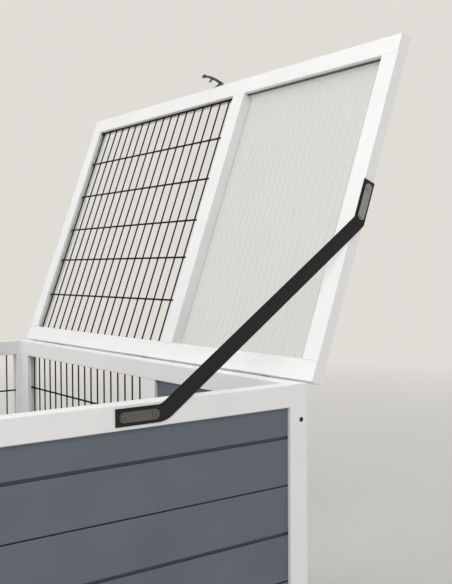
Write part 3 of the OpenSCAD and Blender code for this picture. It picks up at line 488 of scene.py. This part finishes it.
held = wireLook["inGroove"]
for side, look in meshes.items():
    low, high = nodeSize(side + "_mesh")
    top = high.z - held
    length, place = high.x - low.x, at(low.x + held, cage["rear"] - look["inside"], top, (-90, "X"))
    if side == "left":
        length = high.y - low.y
        place = at(cage["left"] + look["inside"], high.y - held, top, (-90, "Z"), (-90, "X"))
    elif side == "door":
        place = at(low.x + held, cage["front"] + look["inside"], top, (-90, "X"))
    width, height = length - 2 * held, high.z - low.z - 2 * held
    weldedMesh(side.title() + "Mesh", side + "_mesh", look["body"], width, height,
               evenly(look["first"], wireLook["pitch"], width),
               evenly(look["firstCross"], wireLook["crossPitch"], height), place)
low, high = nodeSize("roof_mesh")
width = high.x - low.x - 2 * held
weldedMesh("RoofMesh", "roof_mesh", "roof", width, wireLook["roofHeight"],
           evenly(wireLook["roofFirst"], wireLook["roofPitch"], width), wireLook["roofCrosses"],
           openRoof @ at(low.x + held, cage["rear"] - cage["roofRear"], roofMiddle, (180, "X")))
print("meshes made")


# Screws: a head with a cross recess on a tapered shank, facing +Z with its seat at the origin

screwLook = {"small": {"head": 3.0, "height": 1.0, "rounding": 0.55, "slot": 1.7},
             "strap": {"head": 4.0, "height": 1.0, "rounding": 0.6, "slot": 2.3},
             "panel": {"head": 3.4, "height": 0.0, "rounding": 0.1, "sunk": 2.2, "slot": 2.0, "shank": 2.0,
                       "length": 42.0}}
recess = {"width": 0.75, "depth": 1.6, "taper": 0.55}
point = {"length": 3.0, "taper": 0.2}
thinDisc = 0.2                       # what is left of a countersunk head above its cone
largeHead = 3.5                      # the radius of a strap screw's head is more than this, of a small one's less


def screw(head, height, rounding, slot, sunk=0.0, shank=1.5, length=12.0):
    depth = max(height, thinDisc)
    bpy.ops.mesh.primitive_cylinder_add(vertices=32, radius=head * mm, depth=depth * mm,
                                        location=(0, 0, (height - depth / 2) * mm))
    piece = bpy.context.object
    applyAll(piece)
    selectFaces(piece, 1)
    bpy.ops.mesh.bevel(offset=rounding * mm, segments=3, affect="EDGES")
    selectFaces(piece, -1)
    if sunk:                         # the cone of a countersunk head
        bpy.ops.mesh.extrude_region_move(TRANSFORM_OT_translate={"value": (0, 0, -sunk * mm)})
        bpy.ops.transform.resize(value=(shank / head, shank / head, 1), center_override=(0, 0, 0))
    else:
        bpy.ops.mesh.inset(thickness=(head - shank) * mm)
    for part in (length - point["length"], point["length"]):
        bpy.ops.mesh.extrude_region_move(TRANSFORM_OT_translate={"value": (0, 0, -part * mm)})
    bpy.ops.transform.resize(value=(point["taper"], point["taper"], 1), center_override=(0, 0, 0))
    editMode(False)
    cutters = []
    for turn in (0, math.pi / 2):    # two tapered blades cut the recess
        bpy.ops.mesh.primitive_cube_add(size=1, location=(0, 0, height * mm), rotation=(0, 0, turn))
        blade = bpy.context.object
        blade.scale = (2 * slot * mm, recess["width"] * mm, recess["depth"] * mm)
        applyAll(blade)
        selectFaces(blade, -1)
        bpy.ops.transform.resize(value=(recess["taper"], recess["taper"], 1), center_override=(0, 0, 0))
        editMode(False)
        cutters.append(blade)
    cutter = joinUp(cutters, "Cutter")
    applyModifier(piece, "BOOLEAN", operation="DIFFERENCE", object=cutter, solver="EXACT", use_self=True)
    remove(cutter)
    shadeSmooth(piece, 35)
    return piece


def screwPlaces(node):               # where each of a node's screws sits and which way its head faces
    meshCopy(node, "Loose")
    editMode()
    bpy.ops.mesh.select_all(action="SELECT")
    bpy.ops.mesh.separate(type="LOOSE")
    editMode(False)
    found = []
    for part in list(bpy.context.selected_objects):
        corners = [vertex.co.copy() for vertex in part.data.vertices]
        middle = sum(corners, Vector()) / len(corners)
        far = max(corners, key=lambda corner: (corner - middle).length)      # on the tip or on the head
        near = [corner for corner in corners if (corner - far).length < 0.5 * (far - middle).length]
        other = [corner for corner in corners if (corner - far).length > 1.2 * (far - middle).length]
        axis = (sum(near, Vector()) / len(near) - sum(other, Vector()) / len(other)).normalized()
        heights = [(corner - middle).dot(axis) for corner in corners]
        spread = [((corner - middle) - axis * height).length for corner, height in zip(corners, heights)]
        widest = max(range(len(corners)), key=lambda i: round(spread[i] / mm, 1))
        if heights[widest] < 0:
            axis, heights = -axis, [-height for height in heights]
        turn = Vector((0, 0, 1)).rotation_difference(axis).to_matrix().to_4x4()
        seat = middle + axis * heights[widest]
        found.append((spread[widest] / mm, Matrix.Translation(seat) @ turn))
        remove(part)
    return found


# the roof's plate and screws take the nickel painted lighter as a reflection
strapMetal = {"cage": dullNickel, "roof": roofNickelPaintedLighter}
models = {kind: screw(**look) for kind, look in screwLook.items()}
for node, body in (("cage_screws", "cage"), ("roof_screws", "roof"), ("door_screws", "door"),
                   ("corner_screws", "cage")):
    places = screwPlaces(node)
    title = node.title().replace("_", "")
    if node == "corner_screws":
        settle(joinUp(copyTo(models["panel"], [place for head, place in places]), title), body, blackSteel,
               "dark_screws", node)
        continue
    small = [place for head, place in places if head < largeHead]
    large = [place for head, place in places if head >= largeHead]
    settle(joinUp(copyTo(models["small"], small), title), body, zincSteel, "zinc_screws", node)
    if large:
        settle(joinUp(copyTo(models["strap"], large), title + "OnStrap"), body, strapMetal[body], "dark_metal",
               node)
remove(*models.values())
print("screws made")


# Fittings: the frame's own shapes, with their edges rounded as pressed and turned metal is

fittings = {"roof_hinge_cage_leaves": ("cage", 0.25), "roof_hinge_roof_leaves": ("roof", 0.25),
            "roof_hinge_pins": ("cage", 0.3), "door_hinge_cage_leaves": ("cage", 0.25),
            "door_hinge_door_leaves": ("door", 0.25), "door_hinge_pins": ("cage", 0.3),
            "bolt_plate": ("door", 0.35), "bolt_rod": ("bolt", 0.4), "bolt_keeper": ("cage", 0.35),
            "latch_pin": ("roof", 0.25), "tray_pull": ("tray", 0.4)}
darkFittings = {"latch_bracket": ("roof", 0.25), "latch_lever": ("latch", 0.4), "latch_keeper": ("cage", 0.25)}
for table, material, slot in ((fittings, zincSteel, "zinc_steel"), (darkFittings, dullNickel, "dark_metal")):
    for node, (body, rounding) in table.items():
        piece = meshCopy(node, node.title().replace("_", ""))
        bevelEdges(piece, rounding * mm)
        shadeSmooth(piece)
        settle(piece, body, material, slot, node)

# Strap plates: pressed with a raised rim. The model lies along X, its seat at the origin, facing +Z
plateLook = {"length": 54.0, "width": 12.5, "thickness": 1.5, "corner": 6.0, "rim": 1.0, "sunk": 0.2,
             "rounding": 0.3, "steps": 48}


def strapPlate(length, width, thickness, corner, rim, sunk, rounding, steps):
    clearSelection()
    bpy.ops.mesh.primitive_circle_add(vertices=steps, radius=corner * mm, fill_type="NGON",
                                      rotation=(0, 0, math.pi / steps))
    piece = bpy.context.object
    applyAll(piece)
    for side in (-1, 1):             # the disc is drawn out into a bar with round ends
        selectVertices(piece, lambda spot: spot.x * side > 0)
        bpy.ops.transform.translate(value=(side * (length / 2 - corner) * mm, 0, 0))
        selectVertices(piece, lambda spot: spot.y * side > 0)
        bpy.ops.transform.translate(value=(0, side * (width / 2 - corner) * mm, 0))
    bpy.ops.mesh.select_all(action="SELECT")
    bpy.ops.mesh.extrude_region_move(TRANSFORM_OT_translate={"value": (0, 0, thickness * mm)})
    bpy.ops.mesh.inset(thickness=rim * mm, depth=-sunk * mm)
    bpy.ops.mesh.select_all(action="SELECT")
    bpy.ops.mesh.normals_make_consistent(inside=False)
    editMode(False)
    bevelEdges(piece, rounding * mm)
    shadeSmooth(piece)
    return piece


plate = strapPlate(**plateLook)
for node, body, way in (("cage_strap_plate", "cage", Vector((0, 1, 0))),
                        ("roof_strap_plate", "roof", openTurn @ Vector((0, -1, 0)))):
    low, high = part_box(node)
    seat, outward = Vector((low.x, (low.y + high.y) / 2, (low.z + high.z) / 2)), Vector((1, 0, 0))
    turn = Matrix((way, outward.cross(way), outward)).transposed().to_4x4()
    settle(joinUp(copyTo(plate, [Matrix.Translation(seat) @ turn]), node.title().replace("_", "")), body,
           strapMetal[body], "dark_metal", node)
remove(plate)

# Tray pan: moulded, so every edge is round
piece = meshCopy("tray_pan", "TrayPan")
bevelEdges(piece, trayLook["rounding"] * mm, 3)
shadeSmooth(piece)
settle(piece, "tray", trayPlastic, "tray_plastic", "tray_pan")
print("fittings made")


# Strap: one length of webbing, laid flat on its side from the box up to the open roof

look = strapLook
lowBend = Vector((0, cage["rear"] - look["lowBend"], cage["top"] - look["below"])) * mm
highBend = openRoof @ (Vector((0, cage["rear"] - look["highBend"], roofMiddle)) * mm)
lowX = (cage["right"] + look["gap"] + look["thickness"] / 2) * mm
highX = lowX + look["roofOver"] * mm
spanWay = (highBend - lowBend).normalized()
highWay = Vector((0, math.sin(roofLean), math.cos(roofLean)))
lowTurn = math.atan2(spanWay.z, spanWay.y)
highTurn = spanWay.angle(highWay)
radius = look["lowRadius"] * mm
reach = radius * math.tan(lowTurn / 2)
arcStart, arcEnd = lowBend - Vector((0, reach, 0)), lowBend + spanWay * reach
arcCentre = arcStart + Vector((0, 0, radius))
tailStart = lowBend - Vector((0, look["lowEnd"] * mm, 0))
crossed = (highBend - arcEnd).length - look["spread"] * mm   # over this much it moves out to the roof's side

middle = (tailStart + arcStart) / 2
middle.x = lowX
clearSelection()
bpy.ops.mesh.primitive_plane_add(size=1, location=middle, rotation=(0, math.pi / 2, 0))
strap = bpy.context.object
strap.name = "Strap"
applyAll(strap)
editMode()
bpy.ops.mesh.select_all(action="SELECT")
bpy.ops.transform.resize(value=(1, (arcStart - tailStart).length, look["width"] * mm), center_override=middle)
selectVertices(strap, lambda spot: spot.y > middle.y)
bpy.ops.mesh.spin(steps=look["bendSteps"], angle=-lowTurn, center=(lowX, arcCentre.y, arcCentre.z), axis=(1, 0, 0))
shift = spanWay * crossed + Vector((highX - lowX, 0, 0))
bpy.ops.mesh.extrude_region_move(TRANSFORM_OT_translate={"value": shift})
bpy.ops.mesh.extrude_region_move(TRANSFORM_OT_translate={"value": spanWay * look["spread"] * mm})
corner = Vector((highX, highBend.y, highBend.z))     # the upper bend is a mitre
bpy.ops.transform.rotate(value=-highTurn / 2, orient_axis="X", center_override=corner)
bpy.ops.transform.resize(value=(1, 1 / math.cos(highTurn / 2), 1 / math.cos(highTurn / 2)), center_override=corner)
bpy.ops.mesh.extrude_region_move(TRANSFORM_OT_translate={"value": highWay * look["highEnd"] * mm})
corner += highWay * look["highEnd"] * mm
bpy.ops.transform.rotate(value=-highTurn / 2, orient_axis="X", center_override=corner)
bpy.ops.transform.resize(value=(1, math.cos(highTurn / 2), math.cos(highTurn / 2)), center_override=corner)
selectBy("EDGE")
for line in strap.data.edges:        # the span's long edges are cut into many short ones
    ends = [strap.data.vertices[i].co for i in line.vertices]
    line.select = (ends[0] - ends[1]).length > look["longEdge"] * mm
editMode()
bpy.ops.mesh.subdivide(number_cuts=look["cuts"])
bpy.ops.mesh.select_all(action="SELECT")
bpy.ops.mesh.remove_doubles(threshold=closeBy)
editMode(False)


def alongStrap(centre, spot):        # metres along and across the webbing, for the face with that centre
    tail, bent = (arcStart - tailStart).length, radius * lowTurn
    if centre.y < arcStart.y:
        return spot.y - tailStart.y, spot.z - lowBend.z
    if (centre - arcEnd).dot(spanWay) < 0:
        turned = math.atan2(spot.y - arcCentre.y, arcCentre.z - spot.z)
        return tail + turned * radius, radius - math.hypot(spot.y - arcCentre.y, spot.z - arcCentre.z)
    straight = (highBend - arcEnd).length
    if (centre - highBend).dot(spanWay + highWay) < 0:
        offset = spot - arcEnd
        return tail + bent + offset.dot(spanWay), offset.z * spanWay.y - offset.y * spanWay.z
    offset = spot - highBend
    return tail + bent + straight + offset.dot(highWay), offset.z * highWay.y - offset.y * highWay.z


uvMap = strap.data.uv_layers[0].data
for face in strap.data.polygons:
    for loop in face.loop_indices:
        uvMap[loop].uv = alongStrap(face.center, strap.data.vertices[strap.data.loops[loop].vertex_index].co)
applyModifier(strap, "SOLIDIFY", thickness=look["thickness"] * mm, offset=0)
bevelEdges(strap, look["rounding"] * mm, 2, 50)
shadeSmooth(strap, 50)
settle(strap, None, webbing, "webbing", "strap_cage_end", "strap_span", "strap_roof_end")
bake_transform(strap)
print("strap made")


# Floor, light and camera

studio = {"floor": "DBD9D4", "floorLow": "D7D5D0", "patches": 33.33, "floorRadius": 60, "backdrop": "E0DDD7",
          "fade": (1.0, 4.0), "ambient": 0.555}
lamps = {"Key": {"place": (-0.3, -3.4, 2.3), "target": (0.1, 0.1, 0.5), "size": 2.4, "power": 56},
         "Side": {"place": (2.2, -0.9, 2.1), "target": (0.45, -0.1, 0.45), "size": 1.2, "power": 21},
         "Top": {"place": (0.2, -0.3, 6.0), "target": (0.1, -0.1, 0.4), "size": 2.4, "power": 46}}


def seenDirectly(tree):              # 1 for what the camera sees, also in a gloss or through a clear piece
    rays = addNode(tree, "ShaderNodeLightPath")
    seen = calc(tree, "MAXIMUM", rays.outputs["Is Camera Ray"], rays.outputs["Is Glossy Ray"])
    return calc(tree, "MAXIMUM", seen, rays.outputs["Is Transmission Ray"])


clearSelection()
bpy.ops.mesh.primitive_circle_add(vertices=96, radius=studio["floorRadius"], fill_type="NGON", location=(0, 0, 0))
floor = bpy.context.object
floor.name = "Floor"
paper, tree, shader = newMaterial("pale matt floor", **{"Roughness": 0.95, "Specular IOR Level": 0.2})
place = addNode(tree, "ShaderNodeTexCoord").outputs["Object"]
patches = noise(tree, place, 1 / (studio["patches"] * mm))
tree.links.new(mixColour(tree, patches, toLinear(studio["floorLow"]), toLinear(studio["floor"])),
               shader.inputs["Base Color"])
outward = addNode(tree, "ShaderNodeVectorMath", {0: place}, operation="LENGTH").outputs["Value"]
far = stretchTo(tree, outward, *studio["fade"])           # far off, the floor fades into the backdrop
glow = addNode(tree, "ShaderNodeEmission", {"Color": toLinear(studio["backdrop"]), "Strength": 1.0})
blended = addNode(tree, "ShaderNodeMixShader", {0: calc(tree, "MULTIPLY", far, seenDirectly(tree)),
                                                1: shader.outputs[0], 2: glow.outputs[0]})
tree.links.new(blended.outputs[0], tree.nodes["Material Output"].inputs["Surface"])
floor.data.materials.append(paper)

world = bpy.data.worlds.new("studio")
bpy.context.scene.world = world
world.use_nodes = True
tree = world.node_tree
tree.nodes.clear()
ambient = addNode(tree, "ShaderNodeBackground", {"Color": toLinear("FFFFFF"), "Strength": studio["ambient"]})
backdrop = addNode(tree, "ShaderNodeBackground", {"Color": toLinear(studio["backdrop"]), "Strength": 1.0})
mixed = addNode(tree, "ShaderNodeMixShader", {0: seenDirectly(tree), 1: ambient.outputs[0],
                                              2: backdrop.outputs[0]})
addNode(tree, "ShaderNodeOutputWorld", {"Surface": mixed.outputs[0]})


def softbox(name, place, target, size, power):
    clearSelection()
    bpy.ops.object.light_add(type="AREA", location=place)
    lamp = bpy.context.object
    lamp.name = name
    lamp.data.shape = "DISK"
    lamp.data.size = size
    lamp.data.energy = power
    lamp.rotation_euler = (Vector(target) - Vector(place)).to_track_quat("-Z", "Y").to_euler()


for name, look in lamps.items():
    softbox(name, **look)

# The photo's view: millimetres from the box's right, rear and top faces, degrees, and millimetres of the lens
view = {"place": (832.4, -765.0, 154.4), "azimuth": 52.92, "down": 1.62, "roll": -0.28, "lens": 51.96,
        "sensor": 36, "clip": (0.05, 200)}
bpy.ops.object.camera_add()
camera = bpy.context.object
camera.data.lens = view["lens"]
camera.data.sensor_width = view["sensor"]
camera.data.clip_start, camera.data.clip_end = view["clip"]
azimuth, down, roll = (math.radians(view[key]) for key in ("azimuth", "down", "roll"))
turn = (Matrix.Rotation(azimuth, 3, "Z") @ Matrix.Rotation(math.pi / 2 - down, 3, "X")
        @ Matrix.Rotation(roll, 3, "Z"))
spot = Vector((cage["right"], cage["rear"], cage["top"])) + Vector(view["place"])
camera.matrix_world = Matrix.Translation(spot * mm) @ turn.to_4x4()
bpy.context.scene.camera = camera
bpy.context.scene.view_settings.view_transform = "Standard"
print("stage made")
